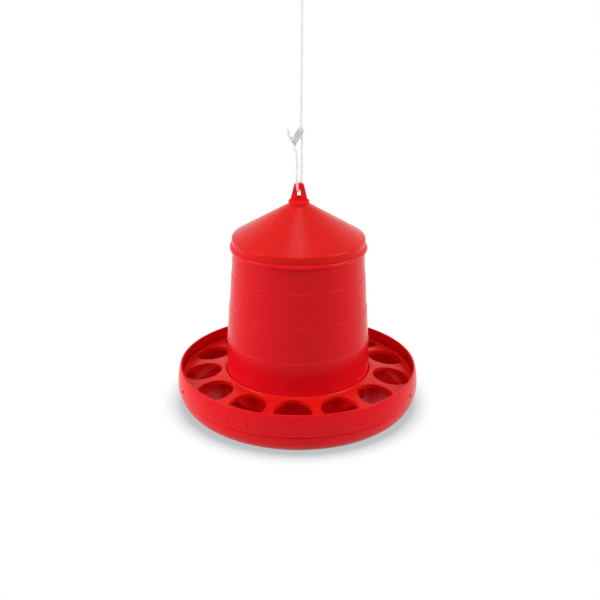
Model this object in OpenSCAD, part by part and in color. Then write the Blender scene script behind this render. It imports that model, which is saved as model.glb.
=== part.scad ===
// Hanging gravity feeder for poultry.
// Feed runs out under the hopper's skirt, over a cone, into a round pan. A guard
// ring with head holes keeps it there, and a cone lid covers the hopper. A flat
// bar through the middle carries the pan; the hopper stands on a pin through the
// bar, so its height sets the feed gap. The feeder hangs on a rope through the
// bar's eye, and a steel plate on the rope sets the hanging height.
// Millimetres, +Z up, front is -Y. Origin: centre of the pan's foot ring.

/* [Pan] */
// Radius of the pan at its rim
pan_r = 200; // [196:0.5:204]
// Height of the rim above the ground
pan_h = 68.6; // [67:0.2:71]
// Wall thickness of the pan
pan_t = 2.8; // [2.4:0.1:3]
// Height of the groove round the pan, where its rounded corner ends
groove_z = 30; // [28:0.5:32]
// How far the wall bulges out past the rim
bulge_out = 3.7; // [3:0.1:4]
// Radius of the rounded corner between wall and floor
corner_r = 40; // [39:0.5:41]
// Height of the feed cone's boss
boss_z = 46; // [42:0.5:46]

/* [Guard ring] */
// Number of head holes
head_holes = 13; // [8:1:13]
// Radius of a head hole
head_r = 31; // [24:0.5:31]
// Radius of the circle of hole centres
head_circle_r = 160; // [158:0.5:161]
// Turn of the first hole from straight front, seen from above
head_turn = -2.4; // [-10:0.1:10]
// Fall of the ring's top from its inner to its outer edge
guard_fall = 12; // [10:0.5:13]
// Number of pins that hold the ring in the pan
guard_pins = 8; // [4:1:12]

/* [Hopper] */
// Outer radius of the hopper's skirt inside the guard ring
skirt_r = 120.8; // [118:0.2:121]
// Height of the skirt's lower edge, which sets the feed gap
skirt_z = 24; // [18:0.5:27]
// Outer radius just below the top bead
neck_r = 108.6; // [107.5:0.1:109]
// Height of the hopper's top edge
hopper_h = 281; // [278:0.5:284]
// Wall thickness of the hopper and lid
wall_t = 2.2; // [1.8:0.1:2.4]
// Depth of each step round the hopper
step_d = 0.6; // [0.4:0.1:1.2]

/* [Lid] */
// Slope of the cone above level, in degrees
lid_slope = 31; // [30:0.5:32]
// Outer radius of the lid's edge
lid_r = 109.4; // [108:0.1:111]
// Outer radius of the collar round the bar
collar_r = 17.1; // [16.9:0.1:20]
// Height of the collar
collar_h = 6; // [4:0.5:8]

/* [Hanger bar] */
// Width of the bar
bar_w = 27.8; // [24:0.2:27.8]
// Thickness of the bar
bar_t = 6; // [5:0.2:6]
// Height of the eye's top
eye_top = 383; // [381:0.5:386]
// Pitch of the height holes
hole_pitch = 12; // [10:0.5:14]
// Number of height holes
height_holes = 5; // [4:1:6]

/* [Rope] */
// Diameter of the rope
rope_d = 4; // [3:0.2:4.2]

/* [Hidden] */
$fn = 96;

red = [0.80, 0.07, 0.08];
zinc = [0.66, 0.69, 0.71];
white = [0.93, 0.92, 0.89];

// Pan
floor_z = 1.5;             // underside of the trough's floor, above the foot ring
bulge_z = 40;              // height of the wall's widest line
bulge_r = 103;             // radius of the wall's curve, seen from the side
wide_r = pan_r + bulge_out;
bulge_c = [wide_r - bulge_r, bulge_z];
corner_c = [wide_r - 1.8 - corner_r, groove_z + 3];
rim_r = 1.7;               // radius of the rounded lip
cone_foot_r = 134;         // where the feed cone meets the trough's floor
boss_r = 24;
boss_t = 7;
slot_gap = 0.4;            // play of the bar in the slots it stands in

// Guard ring
guard_r0 = skirt_r + 1.2;  // inner edge, clear of the skirt all round
guard_r1 = 197.4;
guard_z0 = 61.3;           // height of the inner edge
guard_t = 2.4;
guard_slope = guard_fall / (194.5 - guard_r0);
guard_skirt_z = 37;
lip_r = 1.6;               // rounding of a head hole's edge
pin_z = 45.5;
pin_r = 1.5;
pin_head_r = 2.8;
pin_turn = 180 / guard_pins - 1;

// Hopper: each band ends in a step, so the lower band is the wider one
ring_z = [59.5, 117.9, 176.5, 233.4];
ring_r = [skirt_r + 0.1, 119.3, 115, 110.8];
bead_r = 4.2;
bead_c = [neck_r + 0.1, hopper_h - bead_r];
mouth_r = neck_r - wall_t;

// Bridge across the hopper, and the pin that it stands on
bridge_z = 222;
bridge_w = 12;
bridge_h = 14;
pocket_gap = 0.2;
pocket_x = 98;             // where the pockets' open faces are
pocket_wall = 3;
hub = [44, 22];
pin = [3, bridge_z - 1.4]; // radius and height of the height pin
pin_play = 0.3;

// Lid
lid_z = hopper_h + 0.3;
lid_apex = 359;
shoulder_r = 4;
collar_wall = 2.3;
pad_w = 16.5;              // width of the flat-topped pads on the collar
pad_out = 0.5;
plug_depth = 16;
plug_play = 0.6;
lid_wall_drop = wall_t / cos(lid_slope);

// Bar
foot_z = boss_z - boss_t;
bar_edge = 4;              // width of the thick edges
web_t = 3.2;
tab_z = 355;               // where the bar narrows to the eye
tab_top_w = 15.6;
eye_r = 2.5;
eye_c = [0, eye_top - 12.8];
eye_foot = [3, eye_c[1] - 7.6]; // half the width and the height of its lower end
recess_d = 2;
recess_rim = 0.9;
seat_h = 4.4;              // disc on the bar that fills the lid's collar
seat_gap = 0.5;
key = [10, 5];

// Rope adjuster: a steel strip bent into a Z, tilted by the pull of the rope
plate_w = 10.6;
plate_t = 1.5;
plate_l = 24;
flange_l = 10.8;
flange_corner = 2.5;
bend_r = 1.5;
plate_tilt = 32;
plate_at = [-3.3, 0, 459.6];
rope_hole_r = 3.1;

// The rope's route, from its cut tail through the plate, down, through the eye,
// up through the plate again and on to the knot it hangs by
rope_route = [
    [-18.8, -6.4, 471.5], [-17.9, -6.5, 467.5], [-16.9, -6.6, 463.5], [-15.4, -6.6, 459.8],
    [-12.9, -6.5, 457], [-10.3, -6.4, 454.9], [-8.6, -6.3, 452], [-8.3, -6.3, 449],
    [-8.1, -6.3, 445.8], [-7.2, -6.4, 442], [-5.8, -6.5, 438], [-4.6, -6.6, 432.5],
    [-3.8, -6.8, 425], [-3.4, -7.2, 405], [-3.1, -7.8, 388], [-2.9, -8, 378],
    [-2.1, -6.9, 374], [-0.8, -4, 370.9], [0, 0, 369.8], [0.8, 4, 370.9],
    [2.2, 6.9, 374], [3.1, 8, 378], [3.5, 7.8, 388], [3.7, 7.4, 405],
    [3.8, 6.6, 430], [3.8, 6.3, 455], [3.3, 6.3, 468.6], [2.9, 6, 478],
    [2.6, 4.5, 500], [2.5, 2.5, 540], [2.5, 1, 590], [2.5, 0, 640],
    [2.5, 0, 688]
];
loop_route = [
    [0.2, 0, 692], [-1, 0, 698], [-6, 0, 706], [-9.5, 0, 716], [-8, 0, 727],
    [-3, 0, 733.5], [2.5, 0, 735.5], [8, 0, 733.5], [13, 0, 727], [14.5, 0, 716],
    [11, 0, 706], [6, 0, 698], [4.8, 0, 692]
];
ring_gap = 9;              // distance between the rings of a swept rope
rope_sides = 10;

// ---- Helpers ----

function arc(c, r, a0, a1, n = 12) =
    [for (i = [0:n]) let (a = a0 + (a1 - a0) * i / n) c + r * [cos(a), sin(a)]];

function oval(rx, ry, n = 24) =
    [for (i = [0:n]) let (a = -90 + 180 * i / n) [rx * cos(a), ry * sin(a)]];

function unit(v) = v / norm(v);

// Point at t, from 0 to 1, between points i and i + 1 of a smooth curve through p
function on_curve(p, i, t) =
    let (last = len(p) - 1,
        a = i > 0 ? p[i - 1] : 2 * p[0] - p[1],
        b = p[i],
        c = p[i + 1],
        d = i + 2 <= last ? p[i + 2] : 2 * p[last] - p[last - 1])
    0.5 * (2 * b + (c - a) * t + (2 * a - 5 * b + 4 * c - d) * t * t
        + (3 * b - a - 3 * c + d) * t * t * t);

function spaced(p) = [
    for (i = [0:len(p) - 2])
        let (n = max(1, round(norm(p[i + 1] - p[i]) / ring_gap)))
        for (k = [0:n - 1]) on_curve(p, i, k / n),
    p[len(p) - 1]
];

function ring_at(p, k, r, side) =
    let (last = len(p) - 1,
        along = unit(p[min(last, k + 1)] - p[max(0, k - 1)]),
        u = unit(cross(along, side)),
        v = cross(along, u))
    [for (j = [0:rope_sides - 1])
        let (a = 360 * j / rope_sides) p[k] + r * (cos(a) * u + sin(a) * v)];

// Round tube along a route; side is a direction that the route never runs along
module tube(route, r, side) {
    p = spaced(route);
    n = rope_sides;
    last = len(p) - 1;
    points = [for (k = [0:last]) each ring_at(p, k, r, side)];
    wall = [for (k = [0:last - 1], j = [0:n - 1])
        [k * n + j, (k + 1) * n + j, (k + 1) * n + (j + 1) % n, k * n + (j + 1) % n]];
    start = [[for (j = [0:n - 1]) j]];
    end = [[for (j = [n - 1:-1:0]) last * n + j]];
    polyhedron(points, concat(wall, start, end), convexity = 8);
}

module revolve(points) {
    rotate_extrude($fn = 180) polygon(points);
}

// Copies round the axis, the first one turned from straight front
module around(count, turn = 0) {
    for (i = [0:count - 1])
        rotate([0, 0, turn - 90 + 360 * i / count]) children();
}

// Box centred in X and Y, standing on z
module post(x, y, z, h) {
    translate([-x / 2, -y / 2, z]) cube([x, y, h]);
}

module bar_slot(z, h, gap) {
    post(bar_w + 2 * gap, bar_t + 2 * gap, z, h);
}

// ---- Pan ----

module pan_shell() {
    foot_a = -asin(corner_c[1] / corner_r);
    groove_a = -asin(3.5 / corner_r);
    wall_a = [-4.6, 14];
    inner_r = corner_r - pan_t;
    inner_a = -asin((corner_c[1] - floor_z - pan_t) / inner_r);
    rim_c = [pan_r - rim_r, pan_h - rim_r];
    fall = (boss_z - 2 - floor_z - pan_t) / (cone_foot_r - boss_r);
    drop = pan_t * sqrt(1 + fall * fall);
    revolve(concat(
        [[0, foot_z], [boss_r - 2, foot_z], [boss_r, boss_z - 2 - drop]],
        [[cone_foot_r - 1, floor_z], [177, floor_z], [178, 0]],
        arc(corner_c, corner_r, foot_a, groove_a, 20),
        [[wide_r - 2.9, groove_z + 0.1], [wide_r - 2.9, groove_z + 0.6]],
        arc(bulge_c, bulge_r, wall_a[0], wall_a[1], 16),
        arc(rim_c, rim_r, 0, 180, 14),
        arc(bulge_c, bulge_r - pan_t, wall_a[1], wall_a[0], 16),
        arc(corner_c, inner_r, groove_a, inner_a, 20),
        [[cone_foot_r + 3, floor_z + pan_t], [cone_foot_r - 3, floor_z + pan_t + 1]],
        [[boss_r, boss_z - 2], [boss_r - 2, boss_z], [0, boss_z]]));
}

module pin_holes() {
    around(guard_pins, pin_turn) translate([guard_r1 - 10, 0, pin_z]) rotate([0, 90, 0])
        cylinder(r = pin_r + 0.1, h = 40, $fn = 24);
}

module feed_pan() {
    color(red) difference() {
        pan_shell();
        bar_slot(foot_z - 1, boss_t + 2, slot_gap);
        pin_holes();
    }
}

// ---- Guard ring ----

function guard_top(r) = guard_z0 - guard_slope * (r - guard_r0);

module guard_shell() {
    edge = 1.3;
    turn_r = 2.6;
    skirt_c = [guard_r1 - turn_r, guard_top(guard_r1 - turn_r) - turn_r];
    revolve(concat(
        [[guard_r0, 52], [guard_r0 + 2.2, 51.4], [guard_r0 + 2.4, guard_top(guard_r0) - guard_t]],
        [[guard_r1 - guard_t - 0.8, guard_top(guard_r1 - guard_t) - guard_t]],
        [[guard_r1 - guard_t, guard_skirt_z], [guard_r1, guard_skirt_z]],
        arc(skirt_c, turn_r, 0, 90, 8),
        [[guard_r0 + 3.6, guard_top(guard_r0 + 3.6)]],
        arc([guard_r0 + edge, guard_z0 + 0.1], edge, 60, 180, 8)));
}

// Square to the sloping top at a head hole's centre
module at_head(i) {
    rotate([0, 0, head_turn - 90 + 360 * i / head_holes])
        translate([head_circle_r, 0, guard_top(head_circle_r)])
            rotate([0, atan(guard_slope), 0]) children();
}

module head_collar() {
    translate([0, 0, -7.5]) cylinder(r = head_r + 2.4, h = 6.2, $fn = 64);
}

// Hole with a rounded mouth
module head_cut() {
    rotate_extrude($fn = 64) polygon(concat(
        [[0, -12], [head_r, -12]],
        arc([head_r + lip_r, 0.4 - lip_r], lip_r, 180, 90, 10),
        [[head_r + lip_r, 6], [0, 6]]));
}

module guard_ring() {
    color(red) difference() {
        union() {
            guard_shell();
            for (i = [0:head_holes - 1]) at_head(i) head_collar();
        }
        for (i = [0:head_holes - 1]) at_head(i) head_cut();
        pin_holes();
    }
}

// Push-in pins through the pan's wall and the ring's skirt, each with a low dome head
module guard_ring_pins() {
    out = wide_r + 0.1;
    color(red) around(guard_pins, pin_turn) translate([0, 0, pin_z]) rotate([0, 90, 0])
        rotate_extrude($fn = 32) polygon(concat(
            [[0, 193.6], [pin_r - 0.5, 193.6], [pin_r, 194.6], [pin_r, out]],
            [for (a = [0:15:90]) [pin_head_r * cos(a), out + 0.2 + 1.2 * sin(a)]]));
}

// ---- Hopper ----

// Outer outline from the skirt up to the bead
hopper_outside = concat(
    [[skirt_r, skirt_z], [skirt_r, ring_z[0] - 3], [ring_r[0], ring_z[0]]],
    [for (i = [1:3]) each [
        [ring_r[i] + 0.15, ring_z[i] - 0.5],
        [ring_r[i] - 0.1, ring_z[i] - 0.1],
        [ring_r[i] - step_d, ring_z[i] + 0.4]]],
    [[neck_r, bead_c[1] - bead_r - 1]]);

module hopper_shell() {
    n = len(hopper_outside);
    revolve(concat(
        hopper_outside,
        arc(bead_c, bead_r, -90, 100, 16),
        [[mouth_r, hopper_h - 1.2]],
        [for (i = [n - 1:-1:0]) hopper_outside[i] - [wall_t, 0]]));
}

// Solid filled out to half of the wall's thickness, to trim what stands on the wall
module hopper_core() {
    revolve(concat([[0, skirt_z]], [for (p = hopper_outside) p - [wall_t / 2, 0]],
        [[0, hopper_h - 10]]));
}

// Pocket on the inside of the wall that holds one end of the bridge
module bridge_pocket() {
    w = bridge_w + 2 * pocket_gap;
    intersection() {
        hopper_core();
        difference() {
            translate([pocket_x, -w / 2 - pocket_wall, bridge_z - pocket_wall])
                cube([20, w + 2 * pocket_wall, bridge_h + 2 * pocket_wall]);
            translate([pocket_x - 1, -w / 2, bridge_z]) cube([9, w, bridge_h]);
        }
    }
}

module hopper() {
    color(red) {
        hopper_shell();
        bridge_pocket();
        mirror([1, 0, 0]) bridge_pocket();
    }
}

// Beam with an I section and a hub that slides on the bar
module hopper_bridge() {
    reach = pocket_x + 8;
    groove = [pocket_x - hub[0] / 2 - 10, 3.6, 8];
    color(red) difference() {
        union() {
            post(2 * reach, bridge_w, bridge_z, bridge_h);
            intersection() {
                post(hub[0], hub[1], bridge_z, bridge_h);
                translate([0, 0, bridge_z]) cylinder(r = hub[0] / 2, h = bridge_h);
            }
        }
        bar_slot(bridge_z - 1, bridge_h + 2, 0.5);
        for (side = [-1, 1], face = [-1, 1])
            translate([side * (hub[0] / 2 + 3 + groove[0] / 2), face * bridge_w / 2, bridge_z + bridge_h / 2])
                cube(groove, center = true);
        translate([0, 0, pin[1]]) rotate([90, 0, 0])
            cylinder(r = pin[0] + pin_play, h = 60, center = true, $fn = 48);
    }
}

// Pin through the bar under the bridge's hub, with a round finger grip
module height_pin() {
    color(red) translate([0, 0, pin[1]]) rotate([90, 0, 0]) rotate_extrude($fn = 48)
        polygon(concat(
            [[0, -15], [pin[0] - 1, -15], [pin[0], -13.6], [pin[0], 13]],
            [[7, 13], [8, 14], [8, 17], [7, 18], [0, 18]]));
}

// ---- Lid ----

fall = tan(lid_slope);
collar_z = lid_apex - collar_r * fall; // where the cone meets the collar
collar_top = collar_z + collar_h;
bore_r = collar_r - collar_wall;

// Faint pads on the collar's front and back
module collar_pads() {
    intersection() {
        difference() {
            translate([0, 0, collar_z - 1]) cylinder(r = collar_r + pad_out, h = collar_h + 0.4);
            translate([0, 0, collar_z - 2]) cylinder(r = bore_r + 1, h = collar_h + 3);
        }
        post(pad_w, 2 * collar_r + 4, collar_z - 2, collar_h + 2);
    }
}

module lid_shell() {
    inside = lid_apex - lid_wall_drop;
    edge_z = lid_apex - lid_r * fall;
    back = shoulder_r * tan((90 - lid_slope) / 2);
    shoulder_c = [lid_r - shoulder_r, edge_z - back];
    plug_r = mouth_r - plug_play;
    revolve(concat(
        [[bore_r, inside - bore_r * fall], [bore_r, collar_top - 0.6]],
        [[bore_r + 0.6, collar_top], [collar_r - 0.8, collar_top]],
        [[collar_r, collar_top - 0.8], [collar_r, collar_z]],
        arc(shoulder_c, shoulder_r, 90 - lid_slope, 0, 10),
        [[lid_r, lid_z], [plug_r, lid_z], [plug_r, lid_z - plug_depth + 2]],
        [[plug_r - 0.6, lid_z - plug_depth], [plug_r - wall_t, lid_z - plug_depth]],
        [[plug_r - wall_t, edge_z - 2], [plug_r - wall_t - 2, inside - (plug_r - wall_t - 2) * fall]]));
}

module lid() {
    color(red) union() {
        lid_shell();
        collar_pads();
    }
}

// ---- Hanger bar ----

module tab_outline() {
    w0 = bar_w / 2;
    w1 = tab_top_w / 2;
    top = eye_top;
    corner = 5;
    lean = atan((w0 - w1) / (top - tab_z));
    polygon(concat(
        [[-w0, tab_z], [w0, tab_z]],
        arc([w1 - corner + 0.6, top - corner], corner, lean / 2, 90, 8),
        arc([-w1 + corner - 0.6, top - corner], corner, 90, 180 - lean / 2, 8)));
}

// Eye: round where the rope bears, with a flat lower end
module eye_outline() {
    translate(eye_c) circle(r = eye_r, $fn = 48);
    polygon([[-eye_r, eye_c[1]], [-eye_foot[0], eye_foot[1]], [eye_foot[0], eye_foot[1]],
        [eye_r, eye_c[1]]]);
}

// Recess round the eye that widens downwards, which leaves the tab with two legs
module eye_recess() {
    r = eye_r + recess_rim;
    translate(eye_c) circle(r = r, $fn = 48);
    polygon([[-r, eye_c[1]], [-5, tab_z + 2], [5, tab_z + 2], [r, eye_c[1]]]);
}

module upright(t) {
    rotate([90, 0, 0]) linear_extrude(t, center = true) children();
}

hole_zs = [for (i = [0:height_holes - 1]) pin[1] + (i - 1) * hole_pitch];

// Shallow panels between the edges leave bosses round the height holes
module bar_panels() {
    low = foot_z + boss_t + key[1] + 8;
    high = tab_z - 6;
    w = bar_w - 2 * bar_edge;
    difference() {
        union() {
            for (z = [low:40:hole_zs[0] - 46])
                translate([-w / 2, z]) square([w, 36]);
            translate([-w / 2, hole_zs[0] - 12]) square([w, high - hole_zs[0] + 12]);
        }
        for (z = hole_zs) translate([0, z]) circle(r = 5.4, $fn = 48);
    }
}

// Cuts its children, drawn on the front, into both faces of the bar
module both_faces(depth) {
    for (side = [-1, 1]) translate([0, side * bar_t / 2, 0]) upright(2 * depth) children();
}

// Disc on the bar that fills the lid's collar and keeps the lid in the middle
module collar_seat() {
    r = bore_r - seat_gap;
    top = collar_top - 0.3;
    revolve([[0, top - seat_h], [r - 0.8, top - seat_h], [r, top - seat_h + 0.8],
        [r, top - 0.6], [r - 0.6, top], [0, top]]);
}

module hanger_bar() {
    color(red) difference() {
        union() {
            collar_seat();
            post(bar_w, bar_t, foot_z - 5, tab_z - foot_z + 5);
            post(46, 18, foot_z - 5, 5);
            upright(bar_t) tab_outline();
        }
        both_faces((bar_t - web_t) / 2) bar_panels();
        both_faces(recess_d) eye_recess();
        upright(bar_t + 2) eye_outline();
        for (z = hole_zs) translate([0, 0, z]) rotate([90, 0, 0])
            cylinder(r = pin[0] + 0.1, h = bar_t + 2, center = true, $fn = 48);
        translate([0, 0, boss_z]) post(key[0] + 0.4, bar_t + 2, 0, key[1] + 0.4);
    }
}

// Flat key through the bar on top of the pan's boss, so that the pan can't drop
module bar_key() {
    color(red) translate([0, 0, boss_z]) difference() {
        union() {
            translate([-key[0] / 2, -14, 0]) cube([key[0], 34, key[1]]);
            translate([-9, -18, 0]) cube([18, 5, key[1] + 3]);
        }
        translate([-1, 12, -1]) cube([2, 10, key[1] + 2]);
    }
}

// ---- Rope and its adjuster ----

// The strip's edge line: one flange to the front, the web, one to the back
module plate_edge() {
    c = bend_r + plate_t;
    half = plate_l / 2;
    for (s = [0, 180]) rotate(s) {
        translate([-plate_t / 2, -0.01]) square([plate_t, half - c + 0.01]);
        translate([c - plate_t / 2, half - plate_t]) square([flange_l - c, plate_t]);
        translate([c - plate_t / 2, half - c]) intersection() {
            difference() {
                circle(r = c, $fn = 48);
                circle(r = bend_r, $fn = 48);
            }
            translate([-c, 0]) square([c, c]);
        }
    }
}

// The strip seen from above: its flanges have rounded corners
module plate_plan() {
    reach = flange_l - plate_t / 2;
    c = [plate_w / 2 - flange_corner, reach - flange_corner];
    square([plate_w, 2 * c[1]], center = true);
    square([2 * c[0], 2 * reach], center = true);
    for (x = [-1, 1], y = [-1, 1]) translate([x * c[0], y * c[1]]) circle(r = flange_corner);
}

module rope_adjuster() {
    color(zinc) translate(plate_at) rotate([0, plate_tilt, 0]) difference() {
        intersection() {
            rotate([90, 0, 90]) linear_extrude(plate_w, center = true) plate_edge();
            translate([0, 0, -plate_l]) linear_extrude(2 * plate_l) plate_plan();
        }
        translate([0.6, 6.3, 0]) cylinder(r = rope_hole_r, h = plate_l, $fn = 48);
        translate([1, -6.3, -plate_l]) cylinder(r = rope_hole_r, h = plate_l, $fn = 48);
    }
}

module hanging_rope() {
    color(white) tube(rope_route, rope_d / 2, [1, 0, 0]);
}

// Stopper knot on the plate's lower flange
module adjuster_knot() {
    color(white) translate(plate_at) rotate([0, plate_tilt, 0])
        translate([-2.2, -6.5, -plate_l / 2 + plate_t + 3.9])
            rotate_extrude($fn = 48) polygon(oval(5.5, 3.7));
}

module top_knot() {
    color(white) translate([2.5, 0, 690]) rotate_extrude($fn = 48) polygon(oval(5.6, 8));
}

module top_loop() {
    color(white) tube(loop_route, rope_d / 2, [0, 1, 0]);
}

feed_pan();
guard_ring();
guard_ring_pins();
hopper();
hopper_bridge();
height_pin();
lid();
hanger_bar();
bar_key();
rope_adjuster();
hanging_rope();
adjuster_knot();
top_knot();
top_loop();
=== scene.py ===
"""Looks of a hanging gravity feeder for poultry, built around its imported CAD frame.

Units are metres, +Z up, the front is -Y. The CAD nodes keep their meshes and get
procedural plastics and metal. The rope, its knots and its loop are built here as
braided cord. The camera and the cord come first, then materials, floor and lights.
"""
import math

import bpy
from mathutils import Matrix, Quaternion, Vector


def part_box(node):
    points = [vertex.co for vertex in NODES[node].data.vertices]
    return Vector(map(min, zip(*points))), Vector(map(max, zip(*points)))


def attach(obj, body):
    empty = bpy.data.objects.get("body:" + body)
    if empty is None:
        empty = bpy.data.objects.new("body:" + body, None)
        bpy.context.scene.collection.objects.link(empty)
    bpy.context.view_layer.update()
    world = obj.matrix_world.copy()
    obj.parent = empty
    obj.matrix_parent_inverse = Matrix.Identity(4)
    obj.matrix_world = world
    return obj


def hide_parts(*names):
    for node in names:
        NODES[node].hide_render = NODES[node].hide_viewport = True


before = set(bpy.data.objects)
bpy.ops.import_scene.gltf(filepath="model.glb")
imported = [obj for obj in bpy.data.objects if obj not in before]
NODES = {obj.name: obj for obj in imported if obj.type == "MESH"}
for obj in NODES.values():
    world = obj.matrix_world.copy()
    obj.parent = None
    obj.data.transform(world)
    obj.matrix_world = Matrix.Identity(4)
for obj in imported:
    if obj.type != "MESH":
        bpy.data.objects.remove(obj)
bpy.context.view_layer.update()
MM = 0.001

# ---------------------------------------------------------------- camera

CAMERA_AT = (0.0, -1.6776, 0.846)
CAMERA_PITCH = 21.616       # degrees below level
CAMERA_ROLL = 0.453         # degrees, the picture leans to the right
CAMERA_LENS = 64.75         # mm
CAMERA_SENSOR = 36          # mm
CAMERA_SHIFT = 0.0031       # the feeder stands a little left of the middle
CAMERA_CLIP = 0.05


def add_camera():
    data = bpy.data.cameras.new("camera")
    data.lens = CAMERA_LENS
    data.sensor_width = CAMERA_SENSOR
    data.shift_x = CAMERA_SHIFT
    data.clip_start = CAMERA_CLIP
    camera = bpy.data.objects.new("camera", data)
    camera.location = CAMERA_AT
    camera.rotation_mode = "XYZ"
    camera.rotation_euler = (math.radians(90 - CAMERA_PITCH), 0, 0)
    bpy.context.scene.collection.objects.link(camera)
    bpy.context.view_layer.update()
    camera.rotation_mode = "QUATERNION"
    roll = Quaternion((0, 0, 1), math.radians(CAMERA_ROLL))
    camera.rotation_quaternion = camera.matrix_world.to_quaternion() @ roll
    bpy.context.scene.camera = camera


add_camera()

# ---------------------------------------------------------------- rope

ROPE_D = 4 * MM
BRAID_SIDES = 32
BRAID_STEP = 0.45 * MM
BRAID_BUMPS = 8             # plaits side by side round the rope
BRAID_PITCH = 4.6 * MM      # length of one plait over and under
BRAID_DEPTH = 0.11 * MM
CURVE_STEPS = 24            # points of the smooth curve between two points of a route
KNOT_STEPS = 260            # rings of rope in a knot

# The route of the rope in millimetres, from its cut tail through the adjuster, down
# through the bar's eye, up through the adjuster again and on to the knot it hangs by
ROPE_ROUTE = [
    (-18.8, -6.4, 471.5), (-17.9, -6.5, 467.5), (-16.9, -6.6, 463.5), (-15.4, -6.6, 459.8),
    (-12.9, -6.5, 457), (-10.3, -6.4, 454.9), (-8.6, -6.3, 452), (-8.3, -6.3, 449),
    (-8.1, -6.3, 445.8), (-7.2, -6.4, 442), (-5.8, -6.5, 438), (-4.6, -6.6, 432.5),
    (-3.8, -6.8, 425), (-3.4, -7.2, 405), (-3.1, -7.8, 388), (-2.9, -8, 378),
    (-2.1, -6.9, 374), (-0.8, -4, 370.9), (0, 0, 369.8), (0.8, 4, 370.9),
    (2.2, 6.9, 374), (3.1, 8, 378), (3.5, 7.8, 388), (3.7, 7.4, 405),
    (3.8, 6.6, 430), (3.8, 6.3, 455), (3.3, 6.3, 468.6), (2.9, 6, 478),
    (2.6, 4.5, 500), (2.5, 2.5, 540), (2.5, 1, 590), (2.5, 0, 640),
    (2.5, 0, 688),
]
LOOP_ROUTE = [
    (0.2, 0, 692), (-1, 0, 698), (-6, 0, 706), (-9.5, 0, 716), (-8, 0, 727),
    (-3, 0, 733.5), (2.5, 0, 735.5), (8, 0, 733.5), (13, 0, 727), (14.5, 0, 716),
    (11, 0, 706), (6, 0, 698), (4.8, 0, 692),
]


def link(obj):
    bpy.context.scene.collection.objects.link(obj)
    return obj


def mesh_object(name, points, faces, smooth=True):
    mesh = bpy.data.meshes.new(name)
    mesh.from_pydata([tuple(p) for p in points], [], faces)
    mesh.validate()
    for polygon in mesh.polygons:
        polygon.use_smooth = smooth
    return link(bpy.data.objects.new(name, mesh))


def on_curve(a, b, c, d, t):
    """Point at t between b and c on a smooth curve through a, b, c and d."""
    return 0.5 * (2 * b + (c - a) * t + (2 * a - 5 * b + 4 * c - d) * t * t
                  + (3 * b - a - 3 * c + d) * t * t * t)


def smooth_line(route):
    """A smooth curve through a route's points, the same one that the CAD tube follows."""
    p = [Vector(q) * MM for q in route]
    line = []
    for i in range(len(p) - 1):
        before = p[i - 1] if i else 2 * p[0] - p[1]
        after = p[i + 2] if i + 2 < len(p) else 2 * p[-1] - p[-2]
        line += [on_curve(before, p[i], p[i + 1], after, k / CURVE_STEPS)
                 for k in range(CURVE_STEPS)]
    return line + [p[-1]]


def evenly(line, step):
    """The line again, with its points a step apart."""
    along = [0.0]
    for a, b in zip(line, line[1:]):
        along.append(along[-1] + (b - a).length)
    count = max(2, round(along[-1] / step))
    points, k = [], 0
    for i in range(count + 1):
        s = along[-1] * i / count
        while k < len(line) - 2 and along[k + 1] < s:
            k += 1
        span = along[k + 1] - along[k]
        points.append(line[k].lerp(line[k + 1], (s - along[k]) / span if span else 0))
    return points


def ring_frames(path, closed):
    """Two directions across the path at each point, carried along it without twist."""
    count = len(path)
    tangents = []
    for i in range(count):
        ahead = path[(i + 1) % count] if closed or i + 1 < count else path[i]
        behind = path[i - 1] if closed or i else path[i]
        tangents.append((ahead - behind).normalized())
    u = tangents[0].orthogonal().normalized()
    frames = []
    for t in tangents:
        u = (u - t * u.dot(t)).normalized()
        frames.append((u, t.cross(u)))
    return frames


def braided_tube(name, path, closed=False):
    """A tube with the relief of a plaited cord, its rings at the path's points."""
    count, sides = len(path), BRAID_SIDES
    step = (path[1] - path[0]).length
    middle = ROPE_D / 2 - BRAID_DEPTH
    points = []
    for i, (centre, (u, v)) in enumerate(zip(path, ring_frames(path, closed))):
        wave = math.cos(2 * math.pi * i * step / BRAID_PITCH)
        for j in range(sides):
            a = 2 * math.pi * j / sides
            r = middle + BRAID_DEPTH * math.cos(BRAID_BUMPS * a) * wave
            points.append(centre + (u * math.cos(a) + v * math.sin(a)) * r)
    faces = []
    for i in range(count if closed else count - 1):
        k, n = i * sides, (i + 1) % count * sides
        for j in range(sides):
            m = (j + 1) % sides
            faces.append((k + j, k + m, n + m, n + j))
    if not closed:
        faces.append(tuple(range(sides - 1, -1, -1)))
        faces.append(tuple(range((count - 1) * sides, count * sides)))
    return mesh_object(name, points, faces)


def overhand_knot(name, node, width, height, tilt):
    """A tight overhand knot in a node's place: a trefoil of rope, leant by tilt degrees."""
    low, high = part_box(node)
    centre = Vector((low + high) / 2)
    across = (width - ROPE_D) / 6       # the trefoil is 6 of these wide
    along = (height - ROPE_D) / 2
    sine, cosine = math.sin(math.radians(tilt)), math.cos(math.radians(tilt))
    path = []
    for i in range(KNOT_STEPS):
        t = 2 * math.pi * i / KNOT_STEPS
        x = across * (math.sin(t) + 2 * math.sin(2 * t))
        y = across * (math.cos(t) - 2 * math.cos(2 * t))
        z = -along * math.sin(3 * t)
        path.append(centre + Vector((x * cosine + z * sine, y, z * cosine - x * sine)))
    return braided_tube(name, path, closed=True)


rope_path = evenly(smooth_line(ROPE_ROUTE), BRAID_STEP)
rope = braided_tube("rope_line", rope_path)
loop = braided_tube("rope_loop", evenly(smooth_line(LOOP_ROUTE), BRAID_STEP))
stopper = overhand_knot("rope_stopper_knot", "adjuster_knot",
                        width=10.8 * MM, height=8.0 * MM, tilt=32)
top_knot = overhand_knot("rope_top_knot", "top_knot",
                         width=11.0 * MM, height=15.0 * MM, tilt=0)

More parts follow.
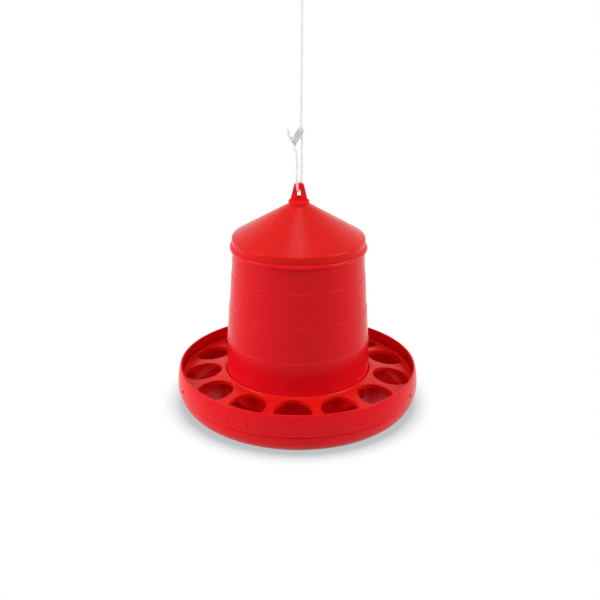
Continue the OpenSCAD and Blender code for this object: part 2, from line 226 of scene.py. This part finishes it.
for piece, node in ((rope, "hanging_rope"), (loop, "top_loop"), (stopper, "adjuster_knot"),
                    (top_knot, "top_knot")):
    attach(piece, "stand")
    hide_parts(node)

# ---------------------------------------------------------------- materials

# Pairs of linear colours, which each material's noise or spangles blend
RED = ((0.88, 0.0068, 0.0150), (0.86, 0.0064, 0.0140))
WARM_RED = ((0.84, 0.0100, 0.0075), (0.82, 0.0095, 0.0070))
BRIGHT_RED = ((0.97, 0.012, 0.014), (0.95, 0.011, 0.013))
ZINC = ((0.62, 0.69, 0.75), (0.78, 0.83, 0.88))
NYLON = ((0.92, 0.92, 0.91), (0.97, 0.97, 0.96))

# Node: its material's name, colours and roughness
PLASTICS = {
    "feed_pan": ("pan_plastic", RED, 0.25),
    "guard_ring": ("guard_plastic", WARM_RED, 0.27),
    "hopper": ("hopper_plastic", RED, 0.21),
    "lid": ("lid_plastic", WARM_RED, 0.25),
}
FITTINGS = ("fitting_plastic", BRIGHT_RED, 0.30)


class Tree:
    """Adds and joins the nodes of a material or a world."""

    def __init__(self, owner):
        owner.use_nodes = True
        self.tree = owner.node_tree
        self.tree.nodes.clear()

    def add(self, kind, **values):
        """A new node; a value names one of its settings, or an input with _ for a space."""
        node = self.tree.nodes.new(kind)
        for key, value in values.items():
            if hasattr(node, key):
                setattr(node, key, value)
            else:
                node.inputs[key.replace("_", " ")].default_value = value
        return node

    def join(self, a, output, b, socket):
        self.tree.links.new(a.outputs[output], b.inputs[socket])

    def ramp(self, source, output, low, high, a, b):
        """Maps the source from low..high to the range a..b."""
        node = self.add("ShaderNodeMapRange", From_Min=low, From_Max=high, To_Min=a, To_Max=b)
        self.join(source, output, node, "Value")
        return node

    def mix(self, factor, a, b):
        """The colour a where the factor is 0 and b where it is 1."""
        node = self.add("ShaderNodeMix", data_type="RGBA", A=(*a, 1), B=(*b, 1))
        self.join(factor, 0, node, "Factor")
        return node


class Surface(Tree):
    """A material of one Principled shader, its textures in the object's own metres."""

    def __init__(self, name):
        self.material = bpy.data.materials.new(name)
        super().__init__(self.material)
        out = self.add("ShaderNodeOutputMaterial")
        self.shader = self.add("ShaderNodeBsdfPrincipled")
        self.join(self.shader, "BSDF", out, "Surface")
        self.place = self.add("ShaderNodeTexCoord")

    def texture(self, kind, stretch, **values):
        node = self.add(kind, **values)
        mapping = self.add("ShaderNodeMapping", Scale=stretch)
        self.join(self.place, "Object", mapping, "Vector")
        self.join(mapping, "Vector", node, "Vector")
        return node

    def noise(self, scale, detail, roughness, stretch=(1, 1, 1)):
        return self.texture("ShaderNodeTexNoise", stretch,
                            Scale=scale, Detail=detail, Roughness=roughness)

    def bump(self, height, strength, distance, before=None):
        node = self.add("ShaderNodeBump", Strength=strength, Distance=distance)
        self.join(height, "Fac", node, "Height")
        if before:
            self.join(before, "Normal", node, "Normal")
        return node

    def finish(self, colour, rough, relief, **values):
        """Joins colour, roughness and relief to the shader and sets its plain inputs."""
        self.join(colour, "Result", self.shader, "Base Color")
        self.join(rough, "Result", self.shader, "Roughness")
        self.join(relief, "Normal", self.shader, "Normal")
        for key, value in values.items():
            self.shader.inputs[key.replace("_", " ")].default_value = value
        return self.material


def moulded_plastic(name, colours, roughness):
    """Satin injection-moulded plastic: faint flow marks, light scuffs and a fine skin."""
    s = Surface(name)
    flow = s.noise(scale=9, detail=3, roughness=0.55, stretch=(1, 1, 0.6))
    colour = s.mix(s.ramp(flow, "Fac", 0.3, 0.7, 0, 1), *colours)
    scuffs = s.noise(scale=60, detail=5, roughness=0.6)
    rough = s.ramp(scuffs, "Fac", 0.3, 0.75, roughness - 0.02, roughness + 0.04)
    skin = s.bump(s.noise(scale=900, detail=2, roughness=0.5), strength=0.05, distance=0.06 * MM)
    waves = s.noise(scale=22, detail=2, roughness=0.4)
    relief = s.bump(waves, strength=0.02, distance=1 * MM, before=skin)
    return s.finish(colour, rough, relief, IOR=1.49, Specular_IOR_Level=0.12,
                    Subsurface_Weight=0.4, Subsurface_Scale=4 * MM,
                    Subsurface_Radius=(1.0, 0.08, 0.08))


def galvanised_steel(name):
    """Hot-dip zinc: pale spangles, a dull bloom and small pits."""
    s = Surface(name)
    cells = s.texture("ShaderNodeTexVoronoi", (1, 1, 0.7), Scale=420)
    grey = s.add("ShaderNodeSeparateColor")
    s.join(cells, "Color", grey, "Color")
    bloom = s.noise(scale=260, detail=5, roughness=0.6)
    pits = s.noise(scale=1500, detail=3, roughness=0.6)
    return s.finish(s.mix(grey, *ZINC), s.ramp(bloom, "Fac", 0.3, 0.7, 0.26, 0.46),
                    s.bump(pits, strength=0.25, distance=0.1 * MM), Metallic=0.25)


def braided_nylon(name):
    """White cord: its relief is in the mesh, its fibres and soft sheen are here."""
    s = Surface(name)
    fibre = s.noise(scale=2600, detail=3, roughness=0.6, stretch=(1, 1, 0.3))
    colour = s.mix(s.ramp(fibre, "Fac", 0.35, 0.7, 0, 1), *NYLON)
    return s.finish(colour, s.ramp(fibre, "Fac", 0.3, 0.7, 0.5, 0.68),
                    s.bump(fibre, strength=0.35, distance=0.12 * MM), Sheen_Weight=0.3,
                    Sheen_Roughness=0.5, Transmission_Weight=0.5, IOR=1.12)


def dress(obj, material):
    obj.data.materials.clear()
    obj.data.materials.append(material)


def dress_everything():
    plastics = {node: moulded_plastic(*recipe) for node, recipe in PLASTICS.items()}
    fittings = moulded_plastic(*FITTINGS)
    for node, obj in NODES.items():
        dress(obj, plastics.get(node, fittings))
    dress(NODES["rope_adjuster"], galvanised_steel("zinc_steel"))
    nylon = braided_nylon("rope_nylon")
    for piece in (rope, loop, stopper, top_knot):
        dress(piece, nylon)


dress_everything()

# ---------------------------------------------------------------- floor and light

# The background is white to the camera, in gloss and through the rope's nylon, apart from a
# painted shadow round the pan. Only the light that the object scatters comes from the matt floor
# and the even sky.
WHITE = (1, 1, 1)
FLOOR_SIZE = 24.0
SHEET_COLOUR = (0.72, 0.72, 0.73)    # matt floor under the feeder
TABLE_COLOUR = (0.46, 0.46, 0.47)    # matt floor round that
SHEET_EDGE = (0.3, 0.5)     # distances from the middle where one turns into the other
SHADOW_REACH = 0.11         # how far from the pan the floor still darkens
SHADOW_TONE = (0.52, 0.53, 0.54)
SHADOW_OPENNESS = (0.45, 0.76)       # open part of the sky where the floor is darkest, white
SHADOW_SAMPLES = 32
SKY_LIGHT = 0.23            # even light from all round

# Lamp: where it is, where it points, width and height, power, colour, seen in gloss
LAMPS = {
    "softbox_left": ((-2.0, -0.55, 1.15), (0, 0, 0.2), (0.9, 1.6), 25, (0.96, 0.94, 1.0), True),
    "softbox_right": ((2.0, -0.55, 1.15), (0, 0, 0.2), (0.9, 1.6), 27, (0.99, 1.0, 0.80), True),
    "softbox_low": ((-2.0, -0.9, 0.4), (0, 0, 0.1), (0.9, 0.7), 8, WHITE, False),
    "softbox_top": ((-0.1, -0.3, 2.2), (0, 0, 0), (1.4, 1.4), 3, WHITE, False),
    "strip_top": ((-0.02, -0.5, 2.3), (-0.02, -0.5, 0), (0.5, 2.2), 11, (0.80, 0.88, 1.0), True),
}


class Stage(Tree):
    """The floor's material or the world: one shader as seen and one that lights."""

    def light(self, kind, colour, strength):
        return self.add(kind, Color=(*colour, 1), Strength=strength)

    def surface(self, lighting, seen, output):
        """Camera, glossy and transmission rays get the seen shader, other rays the lighting."""
        path = self.add("ShaderNodeLightPath")
        shader = lighting
        for ray in ("Is Glossy Ray", "Is Transmission Ray", "Is Camera Ray"):
            choice = self.add("ShaderNodeMixShader")
            self.join(path, ray, choice, 0)
            self.join(shader, 0, choice, 1)
            self.join(seen, 0, choice, 2)
            shader = choice
        self.join(shader, 0, self.add(output), "Surface")


def add_floor():
    half = FLOOR_SIZE / 2
    corners = [(-half, -half, 0), (half, -half, 0), (half, half, 0), (-half, half, 0)]
    floor = mesh_object("floor", corners, [(0, 1, 2, 3)], smooth=False)
    material = bpy.data.materials.new("floor_white")
    material.cycles.emission_sampling = "NONE"
    s = Stage(material)
    away = s.add("ShaderNodeVectorMath", operation="LENGTH")
    s.join(s.add("ShaderNodeTexCoord"), "Object", away, 0)
    matt = s.add("ShaderNodeBsdfDiffuse")
    table = s.ramp(away, "Value", *SHEET_EDGE, 0, 1)
    s.join(s.mix(table, SHEET_COLOUR, TABLE_COLOUR), "Result", matt, "Color")
    # Painted shadow: the seen floor is a white emission, darkened towards SHADOW_TONE where
    # ambient occlusion finds the pan close
    near = s.add("ShaderNodeAmbientOcclusion", Distance=SHADOW_REACH, samples=SHADOW_SAMPLES)
    seen = s.light("ShaderNodeEmission", WHITE, 1)
    openness = s.ramp(near, "AO", *SHADOW_OPENNESS, 0, 1)
    s.join(s.mix(openness, SHADOW_TONE, WHITE), "Result", seen, "Color")
    s.surface(matt, seen, "ShaderNodeOutputMaterial")
    floor.data.materials.append(material)


def add_world():
    world = bpy.data.worlds.new("studio")
    bpy.context.scene.world = world
    s = Stage(world)
    soft = s.light("ShaderNodeBackground", WHITE, SKY_LIGHT)
    seen = s.light("ShaderNodeBackground", WHITE, 1)
    s.surface(soft, seen, "ShaderNodeOutputWorld")


def add_lamp(name, at, towards, size, power, colour, in_gloss):
    data = bpy.data.lights.new(name, "AREA")
    data.shape = "RECTANGLE"
    data.size, data.size_y = size
    data.energy = power
    data.color = colour
    lamp = link(bpy.data.objects.new(name, data))
    lamp.location = at
    lamp.rotation_mode = "QUATERNION"
    lamp.rotation_quaternion = (Vector(towards) - Vector(at)).to_track_quat("-Z", "Y")
    lamp.visible_glossy = in_gloss


add_floor()
add_world()
for lamp_name, setting in LAMPS.items():
    add_lamp(lamp_name, *setting)

bpy.context.scene.view_settings.view_transform = "Standard"
